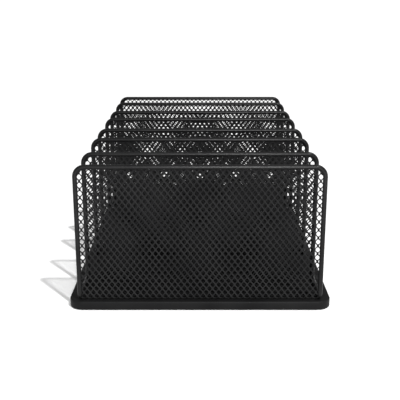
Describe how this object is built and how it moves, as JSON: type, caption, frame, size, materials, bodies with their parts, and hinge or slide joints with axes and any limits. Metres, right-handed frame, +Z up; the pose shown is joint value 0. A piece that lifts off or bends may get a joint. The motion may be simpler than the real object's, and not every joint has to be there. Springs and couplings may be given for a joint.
{
  "type": "desktop file sorter",
  "caption": "Black powder-coated steel file sorter: upright U-shaped expanded-mesh dividers with wire edges, standing in a row on a shallow rectangular base plate with rubber feet.",
  "frame": {"origin": "on the desk, under the middle of the base plate", "axes": "+Z up, -Y towards the front divider, +X to the right as seen from the front; the compartments follow each other along Y"},
  "size_m": [0.21, 0.365, 0.1187],
  "materials": {
    "base_steel": "satin black powder coat on pressed sheet steel",
    "frame_wire": "satin black powder coat on steel wire",
    "expanded_mesh": "satin black powder coat on expanded steel mesh",
    "foot_rubber": "matt black moulded rubber"
  },
  "bodies": {
    "root": {"base_plate": "base_steel", "divider_1_frame": "frame_wire", "divider_1_mesh": "expanded_mesh", "divider_2_frame": "frame_wire", "divider_2_mesh": "expanded_mesh", "divider_3_frame": "frame_wire", "divider_3_mesh": "expanded_mesh", "divider_4_frame": "frame_wire", "divider_4_mesh": "expanded_mesh", "foot_front_left": "foot_rubber", "foot_front_right": "foot_rubber", "foot_middle_left": "foot_rubber", "foot_middle_right": "foot_rubber", "foot_rear_left": "foot_rubber", "foot_rear_right": "foot_rubber"}
  },
  "joints": []
}
